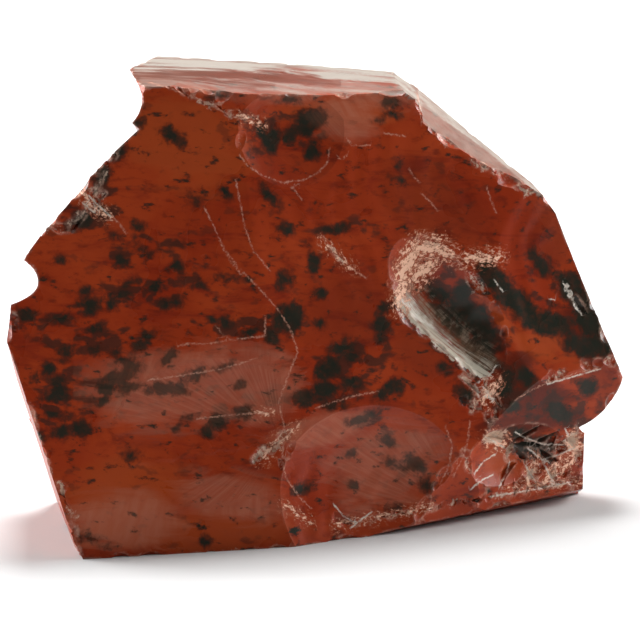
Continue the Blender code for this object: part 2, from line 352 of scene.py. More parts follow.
def grid_heights(axes, chips):
    """How far each point of the grid lies above the stone, with the chips near the surface."""
    heights = np.empty([len(axis) for axis in axes], np.float32)
    up, back = np.meshgrid(axes[1], axes[2], indexing="ij")
    for number, across in enumerate(axes[0]):
        slab = np.stack([np.full(up.shape, across), up, back], axis=-1).reshape(-1, 3)
        heights[number] = np.max([above(scar, slab) for scar in SCARS.values()], axis=0).reshape(up.shape)
    close = np.argwhere(np.abs(heights) < BAND)
    points = np.stack([axes[k][close[:, k]] for k in range(3)], axis=-1)
    crowd = Crowd(points)
    for chip in chips:
        near = crowd.near(chip)
        if len(near):
            index = tuple(close[near].T)
            heights[index] = np.maximum(heights[index], above(chip, points[near]))
    return heights


def crossings(axes, heights, direction, chips):
    """Where the grid's edges along one direction cross the surface, with the facing and owner there."""
    inside = heights <= 0
    crossed = inside != np.roll(inside, -1, axis=direction)
    last = [slice(None)] * 3
    last[direction] = slice(-1, None)
    crossed[tuple(last)] = False
    index = np.argwhere(crossed)
    start = np.stack([axes[k][index[:, k]] for k in range(3)], axis=-1)
    stop = start.copy()
    stop[:, direction] = axes[direction][index[:, direction] + 1]
    starts_in = inside[tuple(index.T)]
    low, high = np.where(starts_in[:, None], start, stop), np.where(starts_in[:, None], stop, start)
    below, over = stone_above(low, chips)[0], stone_above(high, chips)[0]
    for _ in range(CROSSING_STEPS):
        share = np.clip(below / (below - over - 1e-12), 0.05, 0.95)[:, None]
        middle = low + (high - low) * share
        height = stone_above(middle, chips)[0]
        within = height <= 0
        low, high = np.where(within[:, None], middle, low), np.where(within[:, None], high, middle)
        below, over = np.where(within, height, below), np.where(within, over, height)
    point = (low + high) / 2
    owner = stone_above(point, chips)[1]
    return index, point, facing(point, owner, chips), owner, starts_in


def ridge_points(cells, points, normals, count, middle, steps):
    """One point for each cell, where the planes through its crossings meet, so that ridges stay sharp."""
    weight = np.bincount(cells, minlength=count).astype(float)
    centre = np.stack([np.bincount(cells, points[:, k], count) / weight for k in range(3)], axis=-1)
    offset = ((points - centre[cells]) * normals).sum(axis=1)
    square = np.empty((count, 3, 3))
    side = np.empty((count, 3))
    for row in range(3):
        side[:, row] = np.bincount(cells, normals[:, row] * offset, count)
        for column in range(3):
            square[:, row, column] = np.bincount(cells, normals[:, row] * normals[:, column], count)
    sizes, ways = np.linalg.eigh(square)
    kept = sizes > RIDGE_LIMIT * sizes[:, -1:]
    inverse = np.where(kept, 1.0 / np.where(kept, sizes, 1.0), 0.0)
    shift = np.einsum("nij,nj,nkj,nk->ni", ways, inverse, ways, side)
    return np.clip(centre + shift, middle - steps * CELL_ROOM, middle + steps * CELL_ROOM)


def carve(chips, steps):
    """The stone's surface as points, four-sided faces, and each face's owner."""
    steps = np.array(steps)
    axes = grid_axes(steps)
    heights = grid_heights(axes, chips)
    shape = np.array(heights.shape)
    strides = np.array([shape[1] * shape[2], shape[2], 1])
    cells, points, normals, faces, owners = [], [], [], [], []
    for direction in range(3):
        index, point, normal, owner, starts_in = crossings(axes, heights, direction, chips)
        one, two = [k for k in range(3) if k != direction]
        around = []
        for step_one, step_two in ((-1, -1), (0, -1), (0, 0), (-1, 0)):
            cell = index.copy()
            cell[:, one] += step_one
            cell[:, two] += step_two
            around.append(cell @ strides)
            cells.append(around[-1])
            points.append(point)
            normals.append(normal)
        around = np.stack(around, axis=1)
        turned = starts_in if direction == 1 else ~starts_in
        faces.append(np.where(turned[:, None], around, around[:, ::-1]))
        owners.append(owner)
    cells, points, normals = np.concatenate(cells), np.concatenate(points), np.concatenate(normals)
    used, number = np.unique(cells, return_inverse=True)
    where = np.stack(np.unravel_index(used, shape), axis=-1)
    middle = np.stack([axes[k][where[:, k]] for k in range(3)], axis=-1) + steps / 2
    placed = ridge_points(number, points, normals, len(used), middle, steps)
    return largest_part(placed, np.searchsorted(used, np.concatenate(faces)), np.concatenate(owners))


def largest_part(points, faces, owners):
    """Keeps the largest connected piece of the surface."""
    label = np.arange(len(points))
    while True:
        lowest = label[faces].min(axis=1)
        spread = label.copy()
        np.minimum.at(spread, faces, lowest[:, None])
        spread = spread[spread]
        if (spread == label).all():
            break
        label = spread
    main = np.bincount(label[faces[:, 0]]).argmax()
    kept_faces = label[faces[:, 0]] == main
    kept = label == main
    number = np.cumsum(kept) - 1
    return points[kept], number[faces[kept_faces]], owners[kept_faces]


def stone_mesh(points, faces, owners):
    """The carved surface as a mesh, smooth but for the edges between scars."""
    mesh = bpy.data.meshes.new(PIECE)
    mesh.from_pydata(to_frame(points), [], faces.tolist())
    mesh.update(calc_edges=True)
    mesh.shade_smooth()
    around = np.empty(len(mesh.loops), np.int32)
    mesh.loops.foreach_get("edge_index", around)
    out = np.empty(len(mesh.polygons) * 3, np.float32)
    mesh.polygons.foreach_get("normal", out)
    out = out.reshape(-1, 3)
    face = np.repeat(np.arange(len(faces)), 4)
    order = np.argsort(around, kind="stable")
    edge, face = around[order], face[order]
    same = np.nonzero(edge[1:] == edge[:-1])[0]
    first, second = face[same], face[same + 1]
    turn = (out[first] * out[second]).sum(axis=1)
    creased = turn < math.cos(CREASE_ANGLE)
    sharp = creased | (owners[first] != owners[second]) & (turn < math.cos(SHARP_ANGLE))
    marks = np.zeros(len(mesh.edges), bool)
    marks[edge[same[sharp]]] = True
    mesh.attributes.new("sharp_edge", "BOOLEAN", "EDGE").data.foreach_set("value", marks)
    return mesh


# Marks in the glass: column, row, half-length and half-width in the photograph's pixels, and tilt in degrees.
MARKS = {
    "dark": [
        # the top left and the brow
        (173, 136, 14, 8, -35), (141, 123, 7, 4, 60), (122, 154, 7, 4, 35), (196, 203, 8, 5, -55),
        (226, 193, 8, 4, -40), (271, 197, 12, 5, -55), (287, 229, 7, 6, 0), (219, 96, 8, 4, 0),
        (290, 100, 8, 4, 5), (244, 118, 6, 4, -30), (272, 140, 17, 9, 80), (260, 131, 11, 7, -20),
        (293, 133, 13, 8, 35), (309, 123, 19, 12, 25), (312, 152, 10, 7, 70), (254, 151, 5, 3, 30),
        (390, 102, 9, 5, -10), (395, 115, 6, 3, 0), (378, 121, 4, 3, 0), (399, 164, 6, 5, 60),
        (401, 180, 7, 4, -20), (335, 229, 11, 4, 15),
        # the left edge
        (104, 178, 14, 7, 75), (88, 220, 11, 8, 20), (107, 212, 8, 5, -30), (71, 222, 5, 3, 0),
        (116, 236, 7, 4, -45), (141, 228, 9, 5, -50), (145, 251, 6, 4, -40), (122, 260, 8, 7, 0),
        (63, 260, 4, 3, 0), (178, 266, 9, 6, 10), (228, 278, 7, 4, 0), (284, 280, 11, 8, 30),
        (131, 283, 9, 4, 10), (157, 287, 8, 6, 0), (200, 285, 6, 4, 20),
        # the upper bands on the left
        (92, 291, 9, 4, 5), (122, 296, 17, 4, 8), (114, 302, 8, 7, 80), (92, 303, 12, 8, 15),
        (171, 302, 11, 6, 10), (88, 313, 7, 5, 0), (66, 318, 10, 4, 0), (27, 316, 12, 7, 5),
        (98, 327, 8, 5, 20), (290, 318, 17, 14, 50), (227, 323, 8, 7, 0), (251, 332, 9, 6, 30),
        (273, 337, 9, 8, 0), (153, 334, 7, 5, 0), (143, 345, 9, 5, 0), (98, 351, 5, 4, 0),
        (117, 352, 6, 5, 0), (69, 353, 10, 6, 30), (169, 357, 12, 5, 40), (52, 368, 6, 5, 0),
        (314, 264, 10, 7, 80), (320, 293, 6, 5, 0), (320, 324, 6, 5, 0), (213, 320, 6, 4, 0),
        # the fan
        (131, 364, 15, 6, -20), (122, 376, 15, 8, 15), (35, 378, 6, 4, 80), (61, 380, 8, 5, 0),
        (108, 390, 11, 7, 0), (105, 399, 8, 5, 10), (58, 394, 12, 8, 10), (136, 386, 13, 6, 5),
        (167, 389, 22, 6, 2), (196, 375, 13, 6, 15), (226, 367, 10, 6, 15), (59, 414, 12, 5, -5),
        (83, 428, 10, 8, 20), (65, 431, 13, 6, 5), (42, 435, 6, 5, 0), (192, 416, 8, 5, 30),
        (218, 421, 11, 8, 10), (241, 412, 11, 7, 10), (208, 431, 8, 7, 40), (237, 386, 9, 4, 20),
        (176, 429, 5, 4, 0), (136, 456, 7, 4, -10), (300, 487, 10, 5, 10), (92, 536, 10, 5, -25),
        (111, 545, 8, 4, 0), (208, 540, 6, 4, 0),
        # the middle
        (343, 348, 12, 7, 20), (350, 358, 10, 6, 0), (328, 368, 14, 11, 40), (346, 385, 13, 7, 10),
        (325, 391, 16, 9, 15), (306, 397, 13, 8, 10), (334, 404, 10, 4, 5), (384, 307, 9, 6, 30),
        (381, 325, 10, 9, 30), (378, 336, 6, 5, 0), (392, 388, 10, 8, 20), (380, 394, 8, 4, 0),
        (443, 369, 7, 5, 0), (465, 394, 13, 8, -60),
        # the round scar below
        (361, 420, 13, 5, 10), (387, 441, 8, 5, -30), (354, 452, 6, 4, 0), (393, 462, 13, 5, -25),
        (417, 463, 14, 7, -50), (424, 483, 9, 6, -40), (355, 484, 6, 5, 0), (394, 507, 6, 4, 0),
        (372, 414, 8, 4, 20),
        # the groove, the bands and the jaw
        (438, 294, 18, 9, -30), (462, 292, 12, 11, 60), (474, 320, 36, 15, -50), (452, 322, 30, 11, -44),
        (482, 352, 22, 13, -58), (478, 366, 14, 9, -50), (494, 278, 27, 13, -50), (507, 293, 20, 12, -48),
        (522, 307, 26, 13, -44), (549, 324, 27, 13, -12), (542, 264, 19, 8, -55), (574, 289, 22, 12, -60),
        (590, 317, 24, 14, -60), (600, 346, 17, 10, -30), (583, 346, 20, 10, -18), (559, 413, 17, 10, -25),
        (589, 387, 14, 7, -10), (602, 404, 8, 5, 80), (525, 378, 18, 9, -65), (505, 386, 18, 8, 70),
        (514, 408, 12, 6, 20), (536, 447, 20, 11, -15), (518, 434, 10, 6, 0),
    ],
    # where the red is thickly mottled with black
    "mottled": [
        (132, 298, 66, 13, 4), (60, 318, 40, 9, 3), (95, 345, 60, 14, 4), (75, 402, 42, 30, 10),
        (150, 388, 90, 11, 3), (240, 412, 42, 12, 12), (290, 322, 24, 20, 50), (110, 370, 50, 10, 0),
        (195, 275, 60, 16, 6), (150, 250, 40, 16, 20), (340, 375, 45, 26, 20), (95, 215, 34, 16, 40),
        (100, 180, 24, 12, 60), (385, 325, 16, 26, -10), (300, 128, 36, 18, 10), (260, 140, 16, 14, 0),
        (468, 306, 50, 22, -42), (545, 290, 50, 12, -42), (585, 335, 22, 30, 20), (560, 408, 42, 18, -12),
        (510, 392, 26, 20, 60), (532, 446, 36, 16, -12), (405, 465, 30, 12, -40), (375, 425, 30, 9, -15),
        (235, 325, 50, 12, 4), (345, 232, 36, 8, 12),
    ],
    # where the red is deeper and browner
    "shade": [
        (538, 404, 50, 24, -10), (520, 425, 44, 16, 10), (513, 384, 22, 36, -15), (489, 140, 80, 9, -40),
        (585, 330, 24, 30, 20),
    ],
    # where it is only a little deeper
    "deep": [
        (355, 312, 50, 38, 0), (440, 205, 62, 36, -25), (425, 350, 34, 26, -40), (545, 235, 30, 34, -20),
        (605, 372, 18, 24, 0),
    ],
    # where it turns orange
    "orange": [
        (500, 318, 44, 10, -50), (535, 346, 46, 14, -30), (500, 462, 26, 20, 0), (190, 145, 75, 50, -10),
        (545, 330, 75, 14, -38), (150, 532, 90, 20, 0), (330, 112, 70, 16, 0), (130, 490, 70, 40, 0),
        (200, 530, 120, 24, 3), (370, 112, 40, 20, 0),
    ],
    # painted sheen: a pale pink veil that stands in for the reflection of the bright floor and sky under the
    # brow, over the fan, and in the round scars, where the gloss is also rougher
    "painted_sheen": [
        (190, 385, 105, 42, 5), (262, 388, 42, 45, 10), (265, 380, 26, 34, 0), (235, 498, 60, 26, -8),
        (205, 92, 44, 6, -14), (290, 98, 60, 8, -2), (375, 99, 52, 11, -4), (130, 520, 60, 30, 0),
        (384, 468, 62, 44, 15), (130, 88, 22, 14, -20), (345, 120, 40, 22, -10), (320, 430, 60, 18, 8),
    ],
}

# Marks on the top alone, in the same form: the film of fine pale scratches, which is partly a painted
# reflection of the bright backdrop, and the darker streak in it.
TOP_MARKS = {
    "film_sheen_zone": [
        (215, 61, 95, 10, -1), (150, 66, 22, 6, 0), (345, 70, 72, 11, -6), (405, 82, 20, 12, -30),
    ],
    "beige_film_sheen_zone": [
        (255, 87, 100, 8, -6), (360, 88, 55, 8, -4), (410, 92, 12, 20, 20),
    ],
    "streak_zone": [
        (248, 76, 62, 4, -1), (225, 82, 40, 2, -4), (300, 80, 30, 2, -3), (130, 84, 12, 6, 50),
        (165, 76, 20, 2, -3),
    ],
}
TOP_FROM = 56.5                 # how far up the front the top's marks begin
TOP_FACING = 0.45               # and how far up a surface must face to have them
TOP_THICKNESS = 30.0            # how thick the top's marks are, in half-widths

# Glass crushed to a pale grain by a blow, in the same form.
BRUISES = [
    (408, 264, 26, 10, 68), (428, 248, 18, 10, 15), (444, 252, 12, 8, -10), (401, 292, 18, 8, 82),
    (424, 270, 16, 9, 50), (480, 258, 20, 6, 6), (251, 121, 7, 2, -15), (497, 441, 15, 8, -20),
    (575, 446, 8, 14, 0), (92, 203, 13, 4, -42), (106, 213, 6, 4, -30), (274, 446, 12, 4, 50),
    (285, 436, 9, 3, 45), (338, 256, 11, 2, -40), (352, 521, 12, 2, 10), (392, 514, 30, 1.6, 12),
    (490, 392, 12, 7, 60), (533, 472, 13, 6, 75), (553, 473, 12, 6, 65), (571, 463, 10, 5, 60),
    (545, 486, 30, 2, 6), (265, 412, 5, 3, 10), (297, 512, 8, 2, -30),
]

# Flakes struck off the front: column, row, half-length and half-width in pixels, tilt in degrees, how far the
# floor of the flake leans across and up, its depth in millimetres, and its tint: + pale, - dark.
FLAKES = [
    # the crushed corner below the jaw
    (498, 440, 15, 9, -20, -0.35, 0.3, 0.75, 0.95), (512, 450, 10, 6, 35, 0.3, -0.4, 0.6, 0.8),
    (505, 446, 6, 4, 40, 0.4, 0.3, 0.8, 0), (522, 436, 13, 5, 25, 0.1, 0.6, 0.9, -0.7),
    (531, 447, 15, 5, -28, -0.3, -0.5, 1, -0.9), (542, 439, 12, 5, 20, 0.3, 0.4, 0.8, -0.8),
    (527, 457, 12, 5, -12, 0, 0.6, 0.8, -0.6), (547, 453, 12, 5, -32, 0.4, -0.3, 0.8, -0.6),
    (556, 440, 8, 6, 60, -0.4, 0.2, 0.6, -0.3), (573, 438, 6, 13, 10, 0.45, 0.1, 0.7, 0.85),
    (580, 453, 5, 10, -8, 0.5, -0.1, 0.6, 0.7), (564, 452, 6, 10, 22, -0.5, 0.1, 0.7, 0.25),
    (510, 471, 13, 8, 35, 0.1, -0.3, 0.7, -0.1), (520, 482, 10, 6, 20, 0.4, -0.3, 0.6, 0.3),
    (532, 471, 4, 14, 12, 0.5, 0.1, 0.7, 0.85), (543, 470, 5, 12, 14, -0.5, 0, 0.7, 0),
    (553, 472, 4, 12, 18, 0.5, 0.1, 0.7, 0.8), (565, 474, 9, 6, 15, -0.2, 0.5, 0.6, 0.3),
    (574, 480, 6, 6, 0, 0.5, -0.2, 0.5, 0.1), (560, 485, 9, 4, -8, 0, -0.6, 0.5, 0.4),
    # the shards between the groove and the jaw
    (476, 391, 11, 5, -38, -0.4, 0.3, 0.6, 0.85), (489, 388, 10, 4, -52, 0.4, 0.2, 0.6, 0.85),
    (498, 399, 8, 4, -62, 0.4, -0.2, 0.5, 0.45), (470, 403, 3, 10, 5, 0.5, 0, 0.45, 0.4),
    (478, 409, 3, 11, 8, -0.5, 0, 0.45, 0.6), (487, 413, 3, 10, 10, 0.5, 0, 0.45, 0.35),
    (496, 417, 3, 9, -6, -0.5, 0.1, 0.45, 0.5), (462, 398, 4, 8, 10, 0.4, 0, 0.4, -0.5),
    # the ridge under the top, and the bruise below it
    (155, 84, 6, 3, -15, 0.1, 0.5, 0.35, 0.6), (172, 90, 5, 2, -18, 0, 0.4, 0.25, 0.2),
    (191, 97, 6, 3, -20, 0.1, 0.5, 0.35, 0.5), (212, 107, 5, 2, -22, 0, 0.4, 0.25, 0.2),
    (231, 117, 7, 3, -22, 0.1, 0.5, 0.35, 0.5), (250, 121, 9, 4, -12, 0.1, -0.4, 0.35, 0.4),
    # the top right edge
    (489, 167, 8, 3, -30, 0.2, 0.5, 0.4, 0.8), (507, 177, 8, 3, -32, 0.1, 0.4, 0.4, 0.8),
    (523, 187, 6, 3, -38, 0.2, 0.3, 0.35, 0.7), (470, 158, 5, 2, -28, 0.1, 0.4, 0.25, 0.4),
    # the crack's foot and the middle
    (262, 453, 10, 5, 52, -0.4, 0.1, 0.5, 0.7), (274, 446, 9, 4, 48, 0.4, -0.1, 0.5, 0.7),
    (285, 435, 8, 4, 45, -0.3, 0.3, 0.4, 0.45), (281, 459, 3, 9, 0, 0.4, 0, 0.4, 0.3),
    (338, 256, 10, 3, -40, 0.2, 0.3, 0.3, 0.55), (575, 298, 3, 13, 28, 0.5, 0, 0.4, 0.1),
    # the left edge
    (84, 218, 10, 4, 42, -0.4, 0.1, 0.5, 0.6), (104, 199, 8, 4, 50, -0.4, 0.2, 0.4, 0.5),
    (33, 276, 4, 12, -5, -0.5, 0, 0.5, 0.4), (18, 330, 3, 14, 0, -0.4, 0.1, 0.4, 0.2),
]

# Rows of small flakes along an edge: first and last place as column and row, how many, and their tint.
FLAKE_ROWS = [
    ((440, 505), (575, 484), 15, 0.35), ((345, 524), (438, 507), 11, 0.2), ((62, 478), (80, 535), 7, 0.6),
    ((165, 87), (235, 116), 7, 0.3), ((470, 160), (535, 196), 8, 0.5), ((120, 155), (75, 232), 8, 0.35),
]
CHIP_REACH = 1.5                # how far a chip reaches, in half-lengths
CHIP_ROOM = 0.5                 # and in millimetres more
STEP_SIDE = 0.15                # how far from its middle a flake's step lies, in half-widths
STEP_LEAN = 0.35                # and how much the step leans outward
NIBBLES = 260                   # tiny flakes that wear the ridges all round
NIBBLE_SEED = 41
NIBBLE_REACH = 0.25             # they sit this near to a ridge
NIBBLE_TURN = 0.42              # and only where it turns more sharply than this
NIBBLE_SIZE = (0.5, 1.3)        # the least and the greatest half-length
NIBBLE_LONGER = 1.6             # and one in three is this much longer
NIBBLE_WIDTH = 0.6              # their width as a share of their length
NIBBLE_DEPTH = 0.16             # the same for their depth, and chance adds a little

# Bright splinters, as lines; some of them are painted glints on the black glass.
SPLINTERS_AND_GLINTS = [
    [(563, 281), (570, 293), (577, 305), (583, 316)], [(565, 289), (572, 301), (579, 311)],
    [(567, 282), (574, 295)], [(494, 279), (499, 286), (504, 293)], [(549, 299), (557, 300)],
    [(548, 384), (566, 379), (584, 374), (602, 369)], [(474, 474), (484, 461), (497, 454)],
    [(499, 488), (507, 474), (511, 460)], [(470, 490), (481, 481), (494, 475)],
    [(479, 381), (487, 392), (493, 403)], [(475, 384), (479, 398)], [(497, 364), (489, 377)],
    [(484, 396), (497, 400)], [(486, 437), (498, 444), (510, 451)],
    [(515, 432), (527, 439), (545, 445), (566, 445)], [(528, 448), (545, 462)],
    [(541, 461), (558, 456), (577, 448)], [(524, 462), (531, 474), (538, 485)],
    [(545, 465), (551, 476), (556, 485)], [(566, 428), (571, 440)], [(333, 503), (344, 516), (356, 523)],
    [(372, 511), (360, 520), (350, 528)], [(491, 497), (530, 491), (573, 483)],
    [(90, 196), (101, 207), (113, 218)], [(84, 203), (97, 214)],
]

# Hairline cracks with a bright edge: their points as column and row, from end to end.
HAIRLINES = [
    [(205, 208), (212, 222), (219, 237), (227, 253), (238, 266), (247, 276), (258, 287), (268, 298)],
    [(221, 243), (231, 262), (243, 277)], [(236, 180), (240, 200), (245, 226), (253, 250), (270, 271)],
    [(239, 155), (247, 166), (262, 176), (282, 183), (302, 181), (318, 174), (328, 162), (330, 148)],
    [(283, 183), (294, 190), (303, 201)], [(320, 232), (327, 243), (334, 252)],
    [(345, 262), (354, 271), (367, 279)], [(346, 138), (352, 146), (371, 146)],
    [(383, 134), (395, 135), (406, 137)], [(336, 157), (342, 160), (349, 154)],
    [(178, 346), (192, 343), (207, 344), (236, 339), (265, 336), (266, 315)],
    [(216, 325), (223, 333), (232, 342)],
    [(514, 401), (530, 391), (545, 384), (560, 379), (580, 372), (600, 368)],
    [(268, 298), (280, 312), (291, 330), (298, 352), (288, 376), (279, 402), (285, 430)],
    [(284, 440), (282, 458), (287, 478), (299, 496), (312, 508)],
    [(315, 408), (330, 403), (352, 396), (378, 391)], [(445, 425), (452, 445), (449, 466), (440, 484)],
    [(470, 420), (468, 438), (463, 458), (452, 478)], [(420, 193), (430, 202), (438, 212)],
    [(486, 186), (491, 200), (497, 214)], [(408, 168), (413, 176), (420, 184)],
    [(151, 84), (170, 90), (191, 97), (208, 105), (231, 117), (246, 121)],
    [(110, 213), (121, 224), (128, 235)], [(257, 358), (225, 368), (190, 374), (150, 380)],
    [(265, 412), (235, 414), (198, 418)], [(417, 92), (420, 106), (421, 122)],
    [(455, 255), (470, 262), (485, 258)],
]


def photo_place(column, row):
    """A pixel of the photograph as millimetres across and up the leaning front."""
    return (column - PIXEL_MIDDLE) * PIXEL, (PIXEL_BASE - row) * PIXEL


def inside_patches(points, patches, thickness=PATCH_DEPTH):
    """How deep points lie inside the nearest patch, and how far along and across it, in millimetres."""
    deepest = np.full(len(points), -PATCH_FADE)
    along, across = np.zeros(len(points)), np.zeros(len(points))
    centres, _ = on_front([photo_place(patch[0], patch[1]) for patch in patches])
    for centre, (_, _, long, short, tilt) in zip(centres, patches):
        turn = math.radians(tilt)
        long, short = long * PIXEL, short * PIXEL
        near = np.nonzero((np.abs(points - centre)[:, :2] < long + PATCH_FADE).all(axis=1))[0]
        away = points[near] - centre
        first = away[:, 0] * math.cos(turn) + away[:, 1] * math.sin(turn)
        second = away[:, 1] * math.cos(turn) - away[:, 0] * math.sin(turn)
        back = away[:, 2] / (thickness * max(short, 1.0) + PATCH_SLACK * long)
        size = np.sqrt((first / long) ** 2 + (second / short) ** 2 + back ** 2)
        inside = (1 - size) * min(short, PATCH_DEEPEST)
        deeper = inside > deepest[near]
        deepest[near[deeper]] = inside[deeper]
        along[near[deeper]], across[near[deeper]] = first[deeper], second[deeper]
    return deepest, along, across


def beside_lines(points, lines):
    """How far points lie to one side of the nearest line, and how strong the line is there."""
    aside = np.full(len(points), PATCH_FADE)
    strength = np.zeros(len(points))
    for line in lines:
        centres, _ = on_front([photo_place(column, row) for column, row in line])
        for first, last in zip(centres[:-1], centres[1:]):
            run = last - first
            length = np.linalg.norm(run)
            away = points - first
            along = away @ run / length ** 2
            near = (along > -0.1) & (along < 1.1) & (np.abs(away).max(axis=1) < length + 2)
            across = (away[:, 0] * run[1] - away[:, 1] * run[0]) / np.hypot(run[0], run[1])
            far = np.abs(across) + np.abs(away[:, 2] - along * run[2]) * 0.2
            near &= (far < np.abs(aside)) & (far < LINE_REACH)
            aside[near] = across[near]
            ends = np.clip((0.55 - np.abs(along - 0.5)) * length / LINE_END, 0, 1)
            strength[near] = np.clip(1.6 - 2.2 * far[near], 0, 1) * ends[near]
    return aside, strength


class Recipe:
    """Adds nodes to a tree a step at a time."""

    def __init__(self, tree):
        self.tree = tree

    def node(self, kind, settings=(), **inputs):
        """A node with its settings, and its inputs by name with _ for a space, given as values or sockets."""
        made = self.tree.nodes.new(kind)
        for name, value in dict(settings).items():
            setattr(made, name, value)
        for name, value in inputs.items():
            self.feed(made.inputs[name.replace("_", " ")], value)
        return made

    def feed(self, socket, value):
        """Links a socket, or sets it where the value is a plain one."""
        if isinstance(value, bpy.types.NodeSocket):
            self.tree.links.new(value, socket)
        else:
            socket.default_value = value

    def math(self, operation, *values):
        """One step of arithmetic."""
        made = self.tree.nodes.new("ShaderNodeMath")
        made.operation = operation
        for socket, value in zip(made.inputs, values):
            self.feed(socket, value)
        return made.outputs[0]

    def add(self, first, *others):
        """The values added up."""
        for value in others:
            first = self.math("ADD", first, value)
        return first

    def times(self, first, *others):
        """The values multiplied."""
        for value in others:
            first = self.math("MULTIPLY", first, value)
        return first

    def scaled(self, vector, scale):
        """The vector times a number."""
        made = self.tree.nodes.new("ShaderNodeVectorMath")
        made.operation = "SCALE"
        self.feed(made.inputs[0], vector)
        self.feed(made.inputs[3], scale)
        return made.outputs[0]

    def plane(self, across, along):
        """Two numbers as the coordinates of a place."""
        return self.node("ShaderNodeCombineXYZ", X=across, Y=along).outputs[0]

    def ease(self, value, low, high, to_low=0.0, to_high=1.0):
        """The value carried smoothly from one range to another."""
        made = self.node("ShaderNodeMapRange", {"interpolation_type": "SMOOTHSTEP"}, Value=value,
                         From_Min=low, From_Max=high, To_Min=to_low, To_Max=to_high)
        return made.outputs["Result"]

    def noise(self, where, scale, detail=3.0, roughness=0.55, distortion=0.0):
        """Cloudy noise from 0 to 1."""
        made = self.node("ShaderNodeTexNoise", Vector=where, Scale=scale, Detail=detail, Roughness=roughness,
                         Distortion=distortion)
        return made.outputs["Fac"]

    def seeded_noise(self, where, seed, scale):
        """Soft noise that a seed changes."""
        made = self.node("ShaderNodeTexNoise", {"noise_dimensions": "4D"}, Vector=where, W=seed, Scale=scale,
                         Detail=2.0)
        return made.outputs["Fac"]

    def drawn(self, where, scale, turn, detail, roughness, distortion):
        """Noise drawn out by a different number on each axis, and turned about one of the last two."""
        placed = self.node("ShaderNodeMapping", {"vector_type": "TEXTURE"}, Vector=where,
                           Rotation=(0.0, *turn), Scale=tuple(1.0 / s for s in scale))
        return self.noise(placed.outputs["Vector"], 1.0, detail, roughness, distortion)

    def blend(self, share, first, second):
        """One colour over another, each a socket or red, green and blue."""
        made = self.tree.nodes.new("ShaderNodeMix")
        made.data_type = "RGBA"
        for number, value in ((0, share), (6, first), (7, second)):
            self.feed(made.inputs[number], (*value, 1.0) if isinstance(value, tuple) else value)
        return made.outputs[2]

    def mark(self, name, noise, low, high, least, most):
        """A number of the mesh, moved by noise so that its edge is ragged."""
        return self.add(self.attribute(name), self.ease(noise, low, high, least, most))

    def attribute(self, name):
        """A number that the mesh carries at each point, for a material."""
        return self.node("ShaderNodeAttribute", {"attribute_name": name}).outputs["Fac"]

    def point_number(self, name):
        """The same for a geometry tree."""
        return self.node("GeometryNodeInputNamedAttribute", Name=name).outputs["Attribute"]


def obsidian_material():
    """The stone's glass: red and black, with a hard gloss, painted sheen and reflections, pale films, crushed
    grain and fine cracks.
    """
    material = bpy.data.materials.new("red_black_obsidian")
    material.use_nodes = True
    material.node_tree.nodes.clear()
    make = Recipe(material.node_tree)
    millimetres = make.scaled(make.node("ShaderNodeTexCoord").outputs["Object"], 1 / MM)
    fine = make.noise(millimetres, 2.2, 4, 0.6)
    grain = make.noise(millimetres, 3, 4, 0.75)
    cloud = make.noise(millimetres, 0.06, 4, 0.55, 0.6)
    streaks = make.drawn(millimetres, (0.1, 0.2, 0.45), (0.1, 0), 5, 0.6, 0.8)

    colour = glass_red(make, millimetres, cloud, streaks)
    dark, mottled = glass_dark(make, millimetres, fine)
    shade = make.mark("shade", streaks, 0.25, 0.75, -0.6, 0.6)
    colour = make.blend(make.ease(shade, -0.9, 0.9, 0, 0.85), colour, DEEP_RED)
    deep = make.mark("deep", cloud, 0.3, 0.7, -0.5, 0.5)
    colour = make.blend(make.ease(deep, -1.2, 1.2, 0, 0.36), colour, DEEP_RED)
    colour = make.blend(make.ease(mottled, -0.45, 0.35, 0, 0.82), colour, MOTTLED_RED)
    colour = make.blend(make.ease(dark, -0.6, 0.1, 0, 0.6), colour, HALO_RED)
    cloudy = make.ease(make.noise(millimetres, 0.9, 4, 0.7), 0.32, 0.6, 0.8, 1)
    colour = make.blend(make.times(make.ease(dark, -0.36, 0.52), cloudy), colour, BLACK)

    lanes = make.plane(make.math("DIVIDE", make.attribute("around_strike"), LINE_WIDTH),
                       make.math("DIVIDE", make.attribute("from_strike"), LINE_LENGTH))
    lines = make.noise(lanes, 1, 3, 0.6, 0.3)
    # painted sheen along the hackle lines, weaker over the black glass; it also makes the gloss rougher
    painted_sheen = make.ease(make.mark("painted_sheen", streaks, 0.25, 0.75, -0.9, 0.5), -0.8, 0.9)
    painted_sheen = make.times(painted_sheen, make.ease(lines, 0.34, 0.7, 0.36, 0.64), make.ease(dark, -0.3, 0.3, 1, 0.3))
    colour = make.blend(painted_sheen, colour, PAINTED_SHEEN)

    colour, film_sheen = pale_film_sheen(make, millimetres, fine, colour)
    colour = pale_wall_reflection(make, colour)
    colour, crushed = crushed_glass(make, grain, colour)
    colour = tinted_flakes(make, grain, fine, colour)
    colour = cracks_and_wear(make, millimetres, fine, grain, colour)

    roughness = make.add(make.ease(cloud, 0.3, 0.7, 0.24, 0.33), make.times(painted_sheen, 0.2),
                         make.times(crushed, 0.3), make.times(film_sheen, 0.25))
    height = make.add(make.times(grain, make.ease(crushed, 0, 0.6, 0.05, 1.2)), make.times(fine, 0.25),
                      make.times(lines, make.times(make.attribute("hackle"), 0.5)))
    bump = make.node("ShaderNodeBump", Height=height, Strength=0.5, Distance=BUMP_HEIGHT)
    surface = make.node("ShaderNodeBsdfPrincipled", Base_Color=colour, Roughness=roughness, IOR=1.5,
                        Specular_IOR_Level=0.22, Normal=bump.outputs["Normal"])
    output = make.node("ShaderNodeOutputMaterial")
    make.tree.links.new(surface.outputs["BSDF"], output.inputs["Surface"])
    return material


